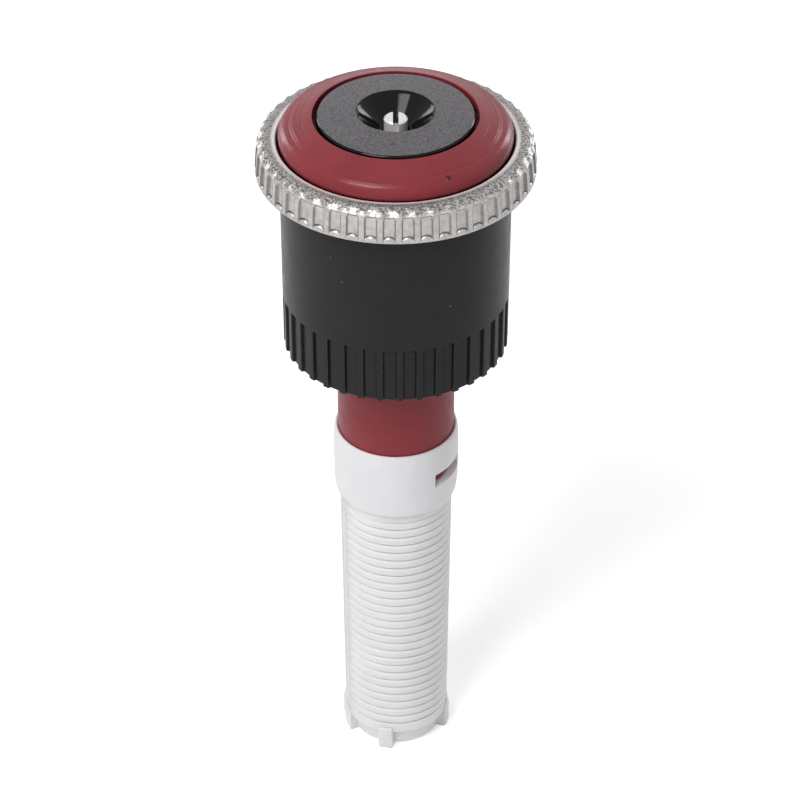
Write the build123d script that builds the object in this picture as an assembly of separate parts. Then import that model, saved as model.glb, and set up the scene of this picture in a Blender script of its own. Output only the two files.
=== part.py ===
from build123d import *
import os

# Rotary multi-stream spray head with its filter, in millimetres.
# Z = 0 is the plane under the filter's feet, and the riser axis is +Z.

# ---- filter ----
FOOT_R, FOOT_W, FOOT_TOP, FOOT_TURN = 5.4, 1.5, 2.6, -12.0
WIDE_FOOT_R, WIDE_FOOT_DEG = 5.3, (-20.0, 28.0) # two opposite feet are this wide
CLOSE_R, CLOSE_Z = 4.5, 0.2
TUBE_Z0, TUBE_R0, TUBE_R1, TUBE_BORE = 2.0, 5.15, 5.49, 4.5
SLOT_N, SLOT_PITCH, SLOT_W, SLOT_Z0 = 28, 0.9645, 0.3, 3.15
FIELD_DEG, FIELD_HALF_DEG = (-85.0, 95.0), 56.0 # middles of the two slotted fields, half their width
BAR_DEG = (-35.0, 0.0, 35.0)                    # upright bars behind the slots
BAR_W, BAR_T, BAR_LAP = 0.8, 0.5, 0.25
COLLAR_Z0, COLLAR_Z1, COLLAR_R = 30.19, 37.51, 6.07
COLLAR_FOOT_R, COLLAR_SKIRT_R, COLLAR_TOP_R = 5.9, 6.03, 5.95
SKIRT_Z, BAND_Z0, BAND_Z1 = 31.2, 34.9, 36.9    # the collar's drafted skirt and its round band
PLUG_TOP = 2.9
FIXED_FIT = 0.03                                # clearance between parts that stay together
WINDOW_Z0, WINDOW_Z1, WINDOW_DEG0, WINDOW_DEG1 = 32.94, 34.52, 39.0, 87.0

# ---- stem ----
STEM_R, STEM_BORE, STEM_TOP = 5.64, 4.6, 60.1
SPIGOT_R, SPIGOT_BORE, SPIGOT_Z0, SPIGOT_Z1 = 5.0, 4.3, 31.2, 36.4
FLANGE_R = 7.2
CATCH_R = 5.3
SPIDER_RING_R, SPIDER_Z0, SPIDER_Z1 = 4.0, 55.6, 59.8
SPIDER_HUB_R, SPIDER_HUB_TOP, SPOKE_W = 2.2, 60.9, 0.8

# ---- body ----
BODY_Z0, BODY_Z1, BODY_R0, BODY_R1 = 47.64, 66.45, 10.68, 10.8
FLOOR_Z0, FLOOR_Z1 = 57.8, 59.3
CUP_R = 9.9
SNAP_Z0, SNAP_Z1, SNAP_DEPTH, SNAP_BORE = 64.2, 64.8, 0.22, 9.55
THREAD_PITCH, THREAD_MAJOR, THREAD_MINOR, THREAD_LEN = 25.4 / 28, 7.94, 7.45, 9.4
GRIP_N, GRIP_TOP, GRIP_DEPTH, GRIP_DEG, GRIP_TURN = 36, 53.38, 0.26, 6.2, -3.0

# ---- adjusting ring ----
RING_Z0, RING_Z1, RING_R, RING_TOP_R, RING_LIP_R = 66.68, 70.0, 13.05, 12.6, 11.05
SHEET_T = 0.35
FLUTE_N, FLUTE_DEG, FLUTE_TURN, FLUTE_Z0 = 48, 4.4, -2.5, 67.3
CARRIER_R, CARRIER_BORE, CARRIER_Z0 = 9.75, 8.6, 60.4
SEAL_GROOVE_R, SEAL_GROOVE_Z0, SEAL_GROOVE_Z1 = 8.85, 61.0, 62.1
SNAP_GROOVE_R, SNAP_GROOVE_Z0, SNAP_GROOVE_Z1 = 9.35, 64.1, 64.9
CARRIER_RIM_R, CARRIER_MOUTH_R, CARRIER_MOUTH_Z = 12.2, 11.0, 69.2
LIP_R, LIP_OUT_R, LIP_Z0, LIP_Z1 = 3.2, 4.4, 59.95, 61.4

# ---- rotor ----
ROTOR_R, ROTOR_EDGE_Z, CREASE_R, CREASE_Z = 10.86, 70.05, 9.8, 71.55
CAP_HOLE_R, CAP_HOLE_Z = 7.69, 72.43
HUB_R, HUB_Z, CONE_R, CONE_Z = 2.6, 61.6, 10.6, 69.95
STREAM_N, STREAM_DEG, STREAM_OUT_R = 16, 11.0, 10.95
CAVITY_R, CAVITY_Z0, LEDGE_Z = 5.7, 66.2, 70.9
CAP_R, CAP_EDGE_Z, CAP_ROUND, CAP_TOP = 7.34, 72.46, 0.25, 72.8
CAP_SPIGOT_R, CAP_SPIGOT_Z = 5.66, 69.75
RECESS_R, RECESS_FLOOR_R, RECESS_FLOOR_Z = 3.66, 1.5, 70.75
BEARING_R, SEAL_R = 2.0, 1.9

# ---- shaft and radius drive ----
SHAFT_R, SHAFT_Z0, SHAFT_TOP = 1.1, 34.0, 72.1
FLAT_HALF, FLAT_TOP = 0.82, 42.65               # two flats that the drive sleeve holds
SHOULDER_R, SHOULDER_Z0, SHOULDER_Z1 = 1.55, 48.9, 49.4
SLOT_TOOL_W, SLOT_TOOL_D = 0.52, 1.3
GROOVE_R, GROOVE_Z0, GROOVE_Z1 = 0.95, 42.7, 42.98
RUN = 0.05                                      # radial running clearance
SLEEVE_R, SLEEVE_FOOT_R, SLEEVE_RIM_R, SLEEVE_TOP = 1.8, 1.5, 2.8, 42.4
GUIDE_Z0, GUIDE_Z1, GUIDE_HUB_R, GUIDE_RING_R = 40.4, 41.8, 3.0, 4.05
CLIP_Z0, CLIP_Z1, CLIP_BORE, CLIP_R = 40.02, 40.28, 1.5, 2.6
SEAT_HOLE_R, SEAT_Z1, DISC_Z0, DISC_Z1, DISC_R = 1.0, 32.2, 32.3, 33.3, 4.1
PORT_N, PORT_DEG, PORT_IN, PORT_OUT = 3, 58.0, 2.2, 3.7
SPRING_Z0, SPRING_Z1, SPRING_R, SPRING_WIRE, SPRING_TURNS = 43.7, 55.0, 2.0, 0.45, 7
GAP = 0.1                                       # clearance between moving faces


def turned(*points):
    """Solid of revolution about Z from the corner points (radius, height)."""
    return revolve(Plane.XZ * make_face(Polyline(*points, close=True)), Axis.Z)


def tube(r_out, r_in, z0, z1):
    return turned((r_in, z0), (r_out, z0), (r_out, z1), (r_in, z1))


def disc(r, z0, z1):
    return Pos(0, 0, z0) * extrude(Circle(r), z1 - z0)


def sector(r_in, r_out, deg0, deg1, z0, z1):
    """Part of a tube between two angles, counted from +X anticlockwise."""
    face = make_face(Polyline((r_in, z0), (r_out, z0), (r_out, z1), (r_in, z1), close=True))
    return Rot(0, 0, deg0) * revolve(Plane.XZ * face, Axis.Z, deg1 - deg0)


def block(r0, r1, width, z0, z1, deg=0.0):
    """Radial bar from radius r0 to r1 at an angle from +X."""
    bar = Pos((r0 + r1) / 2, 0, (z0 + z1) / 2) * Box(r1 - r0, width, z1 - z0)
    return Rot(0, 0, deg) * bar


def split_washer(r_in, r_out, z0, z1):
    """Open retaining clip of flat wire, with a 40 degree mouth."""
    return sector(r_in, r_out, 20, 340, z0, z1)


def torus_ring(r, wire, z):
    """O-ring of mean radius r and wire radius wire."""
    return revolve(Plane.XZ * Pos(r, z) * Circle(wire), Axis.Z)


def save(shape, name):
    shape.label = name
    export_step(shape, f"parts/{name}.step")


# ---------------------------------------------------------------- filter
def filter_basket():
    """Moulded strainer: feet, closing plug, slotted tube and clip-on collar."""
    shell = turned((0, CLOSE_Z), (CLOSE_R, CLOSE_Z), (CLOSE_R, TUBE_Z0), (TUBE_R0, TUBE_Z0),
                   (TUBE_R1, COLLAR_Z0), (COLLAR_FOOT_R, COLLAR_Z0), (COLLAR_SKIRT_R, SKIRT_Z),
                   (COLLAR_R, BAND_Z0), (COLLAR_R, BAND_Z1), (COLLAR_TOP_R, COLLAR_Z1),
                   (STEM_R + FIXED_FIT, COLLAR_Z1), (STEM_R + FIXED_FIT, SPIGOT_Z1 - 0.05),
                   (SPIGOT_R + FIXED_FIT, SPIGOT_Z1 - 0.05), (SPIGOT_R + FIXED_FIT, SPIGOT_Z0 - 0.05),
                   (TUBE_BORE, SPIGOT_Z0 - 0.05), (TUBE_BORE, PLUG_TOP), (0, PLUG_TOP))
    slots = []
    for i in range(SLOT_N):
        z = SLOT_Z0 + i * SLOT_PITCH - SLOT_W / 2
        for middle in FIELD_DEG:
            slots.append(sector(TUBE_BORE - 0.3, COLLAR_FOOT_R, middle - FIELD_HALF_DEG,
                                middle + FIELD_HALF_DEG, z, z + SLOT_W))
    shell = shell - slots
    for middle in FIELD_DEG:
        for off in BAR_DEG:
            shell += block(TUBE_BORE - BAR_T, TUBE_BORE + BAR_LAP, BAR_W, FOOT_TOP - 0.1, COLLAR_Z0,
                           middle + off)
    for middle in (-90.0, 90.0):
        shell -= sector(SPIGOT_R - 0.2, COLLAR_R + 0.4, middle + WINDOW_DEG0, middle + WINDOW_DEG1,
                        WINDOW_Z0, WINDOW_Z1)
    rim = disc(FOOT_R, 0, FOOT_TOP)
    for k in range(4):
        shell += block(0.0, FOOT_R + 1, FOOT_W, 0, FOOT_TOP, -90 + FOOT_TURN + 90 * k) & rim
    for turn in (0, 180):
        shell += sector(CLOSE_R - 0.5, WIDE_FOOT_R, turn + WIDE_FOOT_DEG[0], turn + WIDE_FOOT_DEG[1],
                        0, FOOT_TOP)
    return shell


# ---------------------------------------------------------------- stem
def flow_stem():
    """Feed tube that hangs from the body's floor and takes the filter on its spigot."""
    stem = turned((STEM_BORE, SPIGOT_Z1 + 0.6), (SPIGOT_BORE, SPIGOT_Z1), (SPIGOT_BORE, SPIGOT_Z0),
                  (SPIGOT_R, SPIGOT_Z0), (SPIGOT_R, SPIGOT_Z1), (STEM_R, SPIGOT_Z1),
                  (STEM_R, FLOOR_Z1), (FLANGE_R, FLOOR_Z1), (FLANGE_R, STEM_TOP), (STEM_BORE, STEM_TOP))
    for middle in (-90.0, 90.0):
        stem += sector(SPIGOT_R - 0.2, CATCH_R, middle + WINDOW_DEG0 + 1, middle + WINDOW_DEG1 - 1,
                       WINDOW_Z0 + 0.1, WINDOW_Z1 - 0.75)
    return stem


def stem_spider():
    """Upper guide: ring, three spokes, shaft hub and the fixed edge of the spray opening."""
    hub = tube(SPIDER_HUB_R, SHAFT_R + RUN, SPRING_Z1, SPIDER_HUB_TOP)
    spider = hub + tube(STEM_BORE, SPIDER_RING_R, SPIDER_Z0, SPIDER_Z1)
    for k in range(3):
        spider += block(SPIDER_HUB_R - 0.2, SPIDER_RING_R + 0.2, SPOKE_W, SPIDER_Z0 + 0.2,
                        SPIDER_Z1 - 1.2, 30 + 120 * k)
    return spider + sector(SPIDER_HUB_R - 0.1, SPIDER_RING_R + 0.2, -195, -45, SPIDER_Z1 - 0.6, SPIDER_Z1)


def throttle_guide():
    """Lower guide pressed in the stem: ring, four spokes and the hub of the drive sleeve."""
    guide = tube(GUIDE_HUB_R, SLEEVE_R + RUN, GUIDE_Z0, GUIDE_Z1)
    guide += tube(STEM_BORE, GUIDE_RING_R, GUIDE_Z0 - 0.5, GUIDE_Z1)
    for k in range(4):
        guide += block(GUIDE_HUB_R - 0.2, GUIDE_RING_R + 0.2, SPOKE_W, GUIDE_Z0, GUIDE_Z1, 90 * k)
    return guide


def ported(plate, z0, z1):
    """Cuts the throttle's three ports through a plate."""
    for k in range(PORT_N):
        middle = 360 / PORT_N * k
        plate -= sector(PORT_IN, PORT_OUT, middle - PORT_DEG / 2, middle + PORT_DEG / 2, z0 - 1, z1 + 1)
    return plate


def throttle_seat():
    """Fixed port plate pressed into the stem's lower end."""
    return ported(tube(SPIGOT_BORE, SEAT_HOLE_R, SPIGOT_Z0, SEAT_Z1), SPIGOT_Z0, SEAT_Z1)


def throttle_disc():
    """Turning port plate on the drive sleeve; it covers the seat's ports to cut the throw."""
    return ported(tube(DISC_R, SLEEVE_FOOT_R, DISC_Z0, DISC_Z1), DISC_Z0, DISC_Z1)


def drive_sleeve():
    """Sleeve that turns with the shaft's flats and carries the throttle disc."""
    sleeve = turned((0, DISC_Z0), (SLEEVE_FOOT_R, DISC_Z0), (SLEEVE_FOOT_R, DISC_Z1),
                    (SLEEVE_R, DISC_Z1), (SLEEVE_R, CLIP_Z0 - 0.02), (CLIP_BORE, CLIP_Z0 - 0.02),
                    (CLIP_BORE, CLIP_Z1 + 0.02), (SLEEVE_R, CLIP_Z1 + 0.02), (SLEEVE_R, GUIDE_Z1 + GAP),
                    (SLEEVE_RIM_R, GUIDE_Z1 + GAP), (SLEEVE_RIM_R, SLEEVE_TOP), (0, SLEEVE_TOP))
    keyed = disc(SHAFT_R + RUN, DISC_Z0 - 1, SLEEVE_TOP + 1)
    keyed &= Pos(0, 0, 38) * Box(4, 2 * (FLAT_HALF + RUN), 14)
    return sleeve - keyed


# ---------------------------------------------------------------- body
def nozzle_body():
    """Threaded skirt with grip flutes below, cup for the arc carrier above."""
    body = turned((THREAD_MAJOR + 0.4, BODY_Z0), (BODY_R0, BODY_Z0), (BODY_R1, BODY_Z1),
                  (CUP_R, BODY_Z1), (CUP_R, FLOOR_Z1), (STEM_R + FIXED_FIT, FLOOR_Z1),
                  (STEM_R + FIXED_FIT, FLOOR_Z0), (THREAD_MAJOR, FLOOR_Z0), (THREAD_MAJOR, BODY_Z0 + 0.4))
    body -= tube(CUP_R + SNAP_DEPTH, CUP_R - 0.1, SNAP_Z0, SNAP_Z1)
    cuts = []
    for k in range(GRIP_N):
        middle = -90 + GRIP_TURN + 360 / GRIP_N * k
        cuts.append(sector(BODY_R0 - GRIP_DEPTH, BODY_R1 + 0.7, middle - GRIP_DEG / 2,
                           middle + GRIP_DEG / 2, BODY_Z0 - 1, GRIP_TOP))
    body -= cuts
    return body + riser_thread()


def riser_thread():
    """Helical rib of the 5/8 in x 28 female riser thread."""
    rib_half = THREAD_PITCH * 0.42
    helix = Helix(THREAD_PITCH, THREAD_LEN, THREAD_MAJOR, center=(0, 0, BODY_Z0 + 0.45))
    start = helix @ 0
    profile = Plane(origin=start, x_dir=(1, 0, 0), z_dir=helix % 0)
    rib = make_face(Polyline((0.15, -rib_half), (0.15, rib_half), (THREAD_MINOR - THREAD_MAJOR, 0.08),
                             (THREAD_MINOR - THREAD_MAJOR, -0.08), close=True))
    return sweep(profile * rib, path=helix, is_frenet=True)


def carrier_snap_ring():
    """Split steel ring that keeps the arc carrier in the body's cup."""
    return sector(SNAP_BORE, CUP_R + SNAP_DEPTH - 0.02, 8, 352, SNAP_Z0 + 0.05, SNAP_Z1 - 0.05)


# ---------------------------------------------------------------- adjusting ring
def arc_carrier():
    """Plastic cup under the ring: flange, wall with grooves, web with the spray opening."""
    flange_z = RING_Z0 + 0.07
    return turned((LIP_OUT_R, CARRIER_Z0), (CARRIER_R, CARRIER_Z0), (CARRIER_R, SEAL_GROOVE_Z0),
                  (SEAL_GROOVE_R, SEAL_GROOVE_Z0), (SEAL_GROOVE_R, SEAL_GROOVE_Z1),
                  (CARRIER_R, SEAL_GROOVE_Z1), (CARRIER_R, SNAP_GROOVE_Z0),
                  (SNAP_GROOVE_R, SNAP_GROOVE_Z0), (SNAP_GROOVE_R, SNAP_GROOVE_Z1),
                  (CARRIER_R, SNAP_GROOVE_Z1), (CARRIER_R, flange_z), (CARRIER_RIM_R, flange_z),
                  (CARRIER_RIM_R, RING_Z1 - SHEET_T), (CARRIER_MOUTH_R, RING_Z1 - SHEET_T),
                  (CARRIER_MOUTH_R, CARRIER_MOUTH_Z), (9.1, 67.8), (9.1, 65.8), (CARRIER_BORE, 65.3),
                  (CARRIER_BORE, 63.4), (6.2, 61.2), (LIP_OUT_R, 61.2))


def arc_nozzle():
    """Moving edge of the spray opening: collar with a 140 degree shutter reaching to the hub."""
    collar = tube(LIP_OUT_R, LIP_R, LIP_Z0, LIP_Z1)
    return collar + sector(SPIDER_HUB_R + GAP, LIP_R + 0.2, -190, -50, LIP_Z0, 60.7)


def carrier_o_ring():
    return torus_ring(9.33, 0.48, 61.55)


def arc_ring_sleeve():
    """Pressed stainless sheet ring with fluted edge and a rolled hem."""
    sleeve = turned((RING_LIP_R, RING_Z1 - SHEET_T), (CARRIER_RIM_R, RING_Z1 - SHEET_T),
                    (CARRIER_RIM_R, RING_Z0),
                    (12.85, RING_Z0), (RING_R, RING_Z0 + 0.2), (RING_R, RING_Z0 + 0.9),
                    (12.8, RING_Z1 - 0.75), (RING_TOP_R, RING_Z1 - 0.25), (CARRIER_RIM_R, RING_Z1),
                    (RING_LIP_R, RING_Z1))
    cuts = []
    for k in range(FLUTE_N):
        middle = -90 + FLUTE_TURN + 360 / FLUTE_N * k
        cuts.append(sector(RING_TOP_R - 0.05, RING_R + 1, middle - FLUTE_DEG / 2, middle + FLUTE_DEG / 2,
                           FLUTE_Z0, RING_Z1 + 1))
    return sleeve - cuts


# ---------------------------------------------------------------- rotor
def stream_plate():
    """Coloured rotor: grooved cone under a rounded top band, with the damper cavity inside."""
    under = ThreePointArc((HUB_R, HUB_Z), (6.85, 65.65), (CONE_R, CONE_Z))
    edge = Line((CONE_R, CONE_Z), (ROTOR_R, ROTOR_EDGE_Z))
    side = Line((ROTOR_R, ROTOR_EDGE_Z), (ROTOR_R - 0.03, ROTOR_EDGE_Z + 0.6))
    shoulder = ThreePointArc((ROTOR_R - 0.03, ROTOR_EDGE_Z + 0.6), (10.5, 71.15), (CREASE_R, CREASE_Z))
    inside = Polyline((CREASE_R, CREASE_Z), (CAP_HOLE_R, CAP_HOLE_Z), (CAP_HOLE_R, LEDGE_Z),
                      (CAVITY_R, LEDGE_Z), (CAVITY_R, CAVITY_Z0), (BEARING_R, CAVITY_Z0),
                      (BEARING_R, 64.2), (SHAFT_R + 0.2, 64.2), (SHAFT_R + 0.2, HUB_Z), (HUB_R, HUB_Z))
    outline = Wire([under, edge, side, shoulder] + inside.edges())
    plate = revolve(Plane.XZ * make_face(outline), Axis.Z)
    return plate - stream_grooves()


def stream_grooves():
    """Channels cut along the cone, each ending under the rim of the top band."""
    floor = ThreePointArc((3.3, 62.0), (6.5, 66.0), (STREAM_OUT_R, ROTOR_EDGE_Z))
    outside = Polyline((STREAM_OUT_R, ROTOR_EDGE_Z), (11.3, 69.6), (7.4, 64.9), (3.3, 61.0), (3.3, 62.0))
    profile = Plane.XZ * make_face(Wire([floor] + outside.edges()))
    cuts = []
    for k in range(STREAM_N):
        middle = -90 + 360 / STREAM_N * k
        cuts.append(Rot(0, 0, middle - STREAM_DEG / 2) * revolve(profile, Axis.Z, STREAM_DEG))
    return cuts


def rotor_cap():
    """Black cap that closes the damper, with the tool recess in the middle."""
    return turned((SHAFT_R + 0.2, RECESS_FLOOR_Z), (SHAFT_R + 0.2, 70.4), (SEAL_R, 70.4),
                  (SEAL_R, 69.8), (BEARING_R, 69.8), (BEARING_R, 68.9), (2.9, 68.9), (2.9, CAP_SPIGOT_Z),
                  (5.6, CAP_SPIGOT_Z), (5.6, 70.03), (4.98, 70.03), (4.98, 70.67), (CAP_SPIGOT_R, 70.67),
                  (CAP_SPIGOT_R, LEDGE_Z), (CAP_R, LEDGE_Z), (CAP_R, CAP_EDGE_Z - CAP_ROUND),
                  (CAP_R - CAP_ROUND, CAP_EDGE_Z), (RECESS_R, CAP_TOP), (RECESS_FLOOR_R, RECESS_FLOOR_Z))


# ---------------------------------------------------------------- shaft
def shaft():
    """Stainless adjusting shaft: tool slot on top, up-stop shoulder, two flats at the foot."""
    rod = turned((0, SHAFT_Z0), (SHAFT_R, SHAFT_Z0), (SHAFT_R, SHOULDER_Z0), (SHOULDER_R, SHOULDER_Z0),
                 (SHOULDER_R, SHOULDER_Z1), (SHAFT_R, SHOULDER_Z1), (SHAFT_R, SHAFT_TOP - 0.15),
                 (SHAFT_R - 0.15, SHAFT_TOP), (0, SHAFT_TOP))
    rod -= Pos(0, 0, SHAFT_TOP) * Box(SLOT_TOOL_W, 4, 2 * SLOT_TOOL_D)
    rod -= tube(BEARING_R, GROOVE_R, GROOVE_Z0, GROOVE_Z1)
    flat_mid, flat_len = (SHAFT_Z0 + FLAT_TOP) / 2, FLAT_TOP - SHAFT_Z0
    for side in (-1, 1):
        rod -= Pos(0, side * (FLAT_HALF + 0.5), flat_mid) * Box(4, 1.0, flat_len)
    return rod


def return_spring():
    """Coil that draws the rotor down when the water is shut off."""
    length = SPRING_Z1 - SPRING_Z0 - SPRING_WIRE - 0.1
    start = (0, 0, SPRING_Z0 + SPRING_WIRE / 2 + 0.05)
    helix = Helix(length / SPRING_TURNS, length, SPRING_R, center=start)
    section = Plane(origin=helix @ 0, z_dir=helix % 0) * Circle(SPRING_WIRE / 2)
    return sweep(section, path=helix, is_frenet=True)


os.makedirs("parts", exist_ok=True)
save(filter_basket(), "filter_basket")
save(flow_stem(), "flow_stem")
save(stem_spider(), "stem_spider")
save(throttle_guide(), "throttle_guide")
save(throttle_seat(), "throttle_seat")
save(drive_sleeve(), "drive_sleeve")
save(split_washer(CLIP_BORE, CLIP_R, CLIP_Z0, CLIP_Z1), "sleeve_clip")
save(throttle_disc(), "throttle_disc")
save(nozzle_body(), "nozzle_body")
save(carrier_snap_ring(), "carrier_snap_ring")
save(arc_carrier(), "arc_carrier")
save(arc_nozzle(), "arc_nozzle")
save(carrier_o_ring(), "carrier_o_ring")
save(arc_ring_sleeve(), "arc_ring_sleeve")
save(stream_plate(), "stream_plate")
save(rotor_cap(), "rotor_cap")
save(tube(BEARING_R, SHAFT_R + RUN, 68.95, 69.75), "upper_bearing")
save(tube(SEAL_R, SHAFT_R + RUN, 69.85, 70.35), "upper_seal")
save(tube(BEARING_R, SHAFT_R + RUN, 64.25, 65.35), "lower_bearing")
save(tube(BEARING_R, SHAFT_R + RUN, 65.4, 66.0), "lower_seal")
save(torus_ring(5.3, 0.3, 70.35), "cap_o_ring")
save(shaft(), "shaft")
save(tube(5.3, SHAFT_R, 66.6, 68.5), "damper_stator")
save(tube(2.5, SHAFT_R, 43.0, SPRING_Z0), "spring_retainer")
save(split_washer(GROOVE_R, BEARING_R, GROOVE_Z0, GROOVE_Z1), "retainer_clip")
save(return_spring(), "return_spring")
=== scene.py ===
import math
import bmesh
import bpy
from mathutils import Matrix, Vector


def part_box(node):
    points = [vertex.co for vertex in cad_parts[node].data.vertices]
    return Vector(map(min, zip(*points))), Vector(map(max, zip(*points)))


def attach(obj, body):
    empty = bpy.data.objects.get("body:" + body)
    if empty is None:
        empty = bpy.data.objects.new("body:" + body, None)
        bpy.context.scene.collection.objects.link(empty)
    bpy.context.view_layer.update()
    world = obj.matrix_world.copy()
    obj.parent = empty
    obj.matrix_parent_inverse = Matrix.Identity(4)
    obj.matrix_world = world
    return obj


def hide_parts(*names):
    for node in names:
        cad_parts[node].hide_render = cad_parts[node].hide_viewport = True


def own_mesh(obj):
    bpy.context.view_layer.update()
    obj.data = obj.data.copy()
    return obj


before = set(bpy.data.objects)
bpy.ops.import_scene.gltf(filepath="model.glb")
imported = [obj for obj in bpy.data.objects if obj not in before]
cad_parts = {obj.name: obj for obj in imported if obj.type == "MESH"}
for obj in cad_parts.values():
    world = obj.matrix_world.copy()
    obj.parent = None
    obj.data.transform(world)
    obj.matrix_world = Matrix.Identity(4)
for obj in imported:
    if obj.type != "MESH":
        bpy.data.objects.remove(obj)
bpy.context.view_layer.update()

MM = 0.001

# ---------------------------------------------------------------- stage
# A white table top lit by one large soft box in front and a narrow one low on
# each side behind, with a white surround, as for a small part shown on its own.
LOOK_HEIGHT = 0.0401                # of the point looked at, in metres
LOOK_DISTANCE = 0.3482
LOOK_DOWN = math.radians(36.0)
AXIS_OFFSET = 0.00039               # the part stands a little left of the middle
LENS, SENSOR = 162.0, 36.0
SURROUND_LIGHT, SURROUND_GLOSS = 0.37, 0.98
TABLE_GLOW = 0.37                   # keeps the table top white where the camera sees it

camera_data = bpy.data.cameras.new("camera")
camera_data.lens = LENS
camera_data.sensor_width = SENSOR
camera_data.clip_start = 0.01
camera = bpy.data.objects.new("camera", camera_data)
camera.location = (AXIS_OFFSET, -LOOK_DISTANCE * math.cos(LOOK_DOWN),
                   LOOK_HEIGHT + LOOK_DISTANCE * math.sin(LOOK_DOWN))
camera.rotation_euler = (math.pi / 2 - LOOK_DOWN, 0, 0)
bpy.context.scene.collection.objects.link(camera)
bpy.context.scene.camera = camera
bpy.context.scene.view_settings.view_transform = "Standard"


def soft_box(name, place, aim, width, height, power):
    """Rectangular lamp at a place, turned to face the aim point."""
    data = bpy.data.lights.new(name, "AREA")
    data.shape = "RECTANGLE"
    data.size = width
    data.size_y = height
    data.energy = power
    lamp = bpy.data.objects.new(name, data)
    lamp.location = place
    lamp.rotation_euler = (Vector(aim) - Vector(place)).to_track_quat("-Z", "Y").to_euler()
    bpy.context.scene.collection.objects.link(lamp)


MIDDLE = (0, 0, 0.045)
soft_box("key_left", (-0.22, -0.31, 0.50), MIDDLE, 0.26, 0.30, 2.35)
soft_box("side_left", (-0.38, 0.40, 0.13), MIDDLE, 0.12, 0.40, 0.75)
soft_box("side_right", (0.38, 0.40, 0.13), MIDDLE, 0.12, 0.40, 0.9)

world = bpy.data.worlds.new("white_surround")
bpy.context.scene.world = world
world.use_nodes = True
sky = world.node_tree
sky.nodes.clear()
ray = sky.nodes.new("ShaderNodeLightPath")
level = sky.nodes.new("ShaderNodeMapRange")
level.inputs["To Min"].default_value = SURROUND_LIGHT
level.inputs["To Max"].default_value = SURROUND_GLOSS
lit = sky.nodes.new("ShaderNodeBackground")
lit.inputs["Color"].default_value = (0.98, 0.98, 1.0, 1)
seen = sky.nodes.new("ShaderNodeMath")
seen.operation = "MAXIMUM"
white = sky.nodes.new("ShaderNodeBackground")
either = sky.nodes.new("ShaderNodeMixShader")
out = sky.nodes.new("ShaderNodeOutputWorld")
sky.links.new(ray.outputs["Is Glossy Ray"], level.inputs["Value"])
sky.links.new(level.outputs["Result"], lit.inputs["Strength"])
sky.links.new(ray.outputs["Is Camera Ray"], seen.inputs[0])
sky.links.new(ray.outputs["Is Transmission Ray"], seen.inputs[1])
sky.links.new(seen.outputs[0], either.inputs["Fac"])
sky.links.new(lit.outputs[0], either.inputs[1])
sky.links.new(white.outputs[0], either.inputs[2])
sky.links.new(either.outputs[0], out.inputs["Surface"])

floor_bm = bmesh.new()
bmesh.ops.create_grid(floor_bm, x_segments=2, y_segments=2, size=1.5)
floor_mesh = bpy.data.meshes.new("table_top")
floor_bm.to_mesh(floor_mesh)
floor_bm.free()
table_top = bpy.data.objects.new("table_top", floor_mesh)
bpy.context.scene.collection.objects.link(table_top)
paper = bpy.data.materials.new("white_paper")
paper.use_nodes = True
paper_bsdf = paper.node_tree.nodes["Principled BSDF"]
paper_bsdf.inputs["Base Color"].default_value = (0.97, 0.97, 0.975, 1)
paper_bsdf.inputs["Roughness"].default_value = 0.9
paper_ray = paper.node_tree.nodes.new("ShaderNodeLightPath")
paper_lift = paper.node_tree.nodes.new("ShaderNodeMath")
paper_lift.operation = "MULTIPLY"
paper_lift.inputs[1].default_value = TABLE_GLOW
paper_bsdf.inputs["Emission Color"].default_value = (1, 1, 1, 1)
paper.node_tree.links.new(paper_ray.outputs["Is Camera Ray"], paper_lift.inputs[0])
paper.node_tree.links.new(paper_lift.outputs[0], paper_bsdf.inputs["Emission Strength"])
table_top.data.materials.append(paper)

# ---------------------------------------------------------------- filter
# The strainer is one moulding in off-white plastic: a collar that snaps on the
# stem, a slightly tapered tube with two fields of fine ribs, and four feet, two
# of them wide.
ROUND = 4                           # segments in a rounded corner


def ring_outline(bm, corners):
    """Closed wire in the XZ plane from (radius, height, rounding) corners in millimetres."""
    verts = [bm.verts.new((r * MM, 0, z * MM)) for r, z, _ in corners]
    for a, b in zip(verts, verts[1:] + verts[:1]):
        bm.edges.new((a, b))
    for vert, (_, _, rounding) in zip(verts, corners):
        if rounding:
            bmesh.ops.bevel(bm, geom=[vert], offset=rounding * MM, segments=ROUND, profile=0.5,
                            affect="VERTICES", material=-1)


def divide_long(bm, longest, beyond=0.0):
    """Cuts each edge beyond a radius into lengths of at most the given millimetres."""
    for edge in list(bm.edges):
        cuts = int(edge.calc_length() / (longest * MM))
        if cuts and min(v.co.x for v in edge.verts) >= beyond * MM:
            bmesh.ops.subdivide_edges(bm, edges=[edge], cuts=cuts)


def spun(corners, steps, deg=360.0, start=0.0, longest=None, beyond=0.0):
    """Solid of revolution about Z; a part turn gets flat ends."""
    bm = bmesh.new()
    ring_outline(bm, corners)
    if longest:
        divide_long(bm, longest, beyond)
    bmesh.ops.rotate(bm, cent=(0, 0, 0), matrix=Matrix.Rotation(math.radians(start), 3, "Z"),
                     verts=bm.verts)
    whole = deg == 360.0
    bmesh.ops.spin(bm, geom=bm.verts[:] + bm.edges[:], cent=(0, 0, 0), axis=(0, 0, 1),
                   angle=math.radians(deg), steps=steps, use_merge=whole, use_duplicate=False)
    bmesh.ops.remove_doubles(bm, verts=bm.verts, dist=1e-7)
    if not whole:
        bmesh.ops.holes_fill(bm, edges=[e for e in bm.edges if e.is_boundary], sides=0)
    bmesh.ops.recalc_face_normals(bm, faces=bm.faces)
    return bm


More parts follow.
